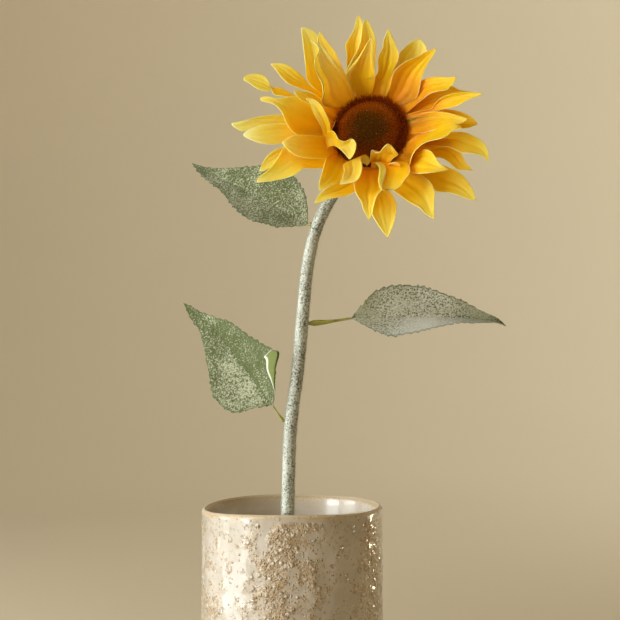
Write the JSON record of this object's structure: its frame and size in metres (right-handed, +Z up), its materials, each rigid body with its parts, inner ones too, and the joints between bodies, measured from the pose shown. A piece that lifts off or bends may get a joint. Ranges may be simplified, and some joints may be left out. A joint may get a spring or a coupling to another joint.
{
  "type": "artificial sunflower in a vase",
  "caption": "Artificial sunflower with cloth petals and flocked leaves on a bent stem, leaning in a tall round vase of speckled glazed stoneware.",
  "frame": {"origin": "middle of the vase's flat underside", "axes": "+Z up along the vase; the flower faces -Y and leans to +X"},
  "size_m": [0.2194, 0.2063, 0.5218],
  "materials": {
    "stoneware": "glossy speckled glaze over a rough body",
    "flocked_stem": "grey-green flock",
    "stalk_plastic": "smooth olive",
    "leaf_cloth": "grey-green flock on cloth",
    "petal_cloth": "satin cloth shaded from orange to lemon",
    "disc_pile": "short brown pile",
    "fringe_pile": "dark brown bristles",
    "calyx_plastic": "moulded green",
    "sepal_felt": "green felt"
  },
  "bodies": {
    "root": {"vase": "stoneware", "stem": "flocked_stem", "stalk_upper_left": "stalk_plastic", "stalk_right": "stalk_plastic", "stalk_lower_left": "stalk_plastic", "leaf_upper_left": "leaf_cloth", "leaf_right": "leaf_cloth", "leaf_lower_left": "leaf_cloth", "petal_layer_back": "petal_cloth", "petal_layer_middle": "petal_cloth", "petal_layer_front": "petal_cloth", "seed_disc": "disc_pile", "disc_fringe": "fringe_pile", "calyx_cup": "calyx_plastic", "sepal_ring": "sepal_felt"}
  },
  "joints": []
}
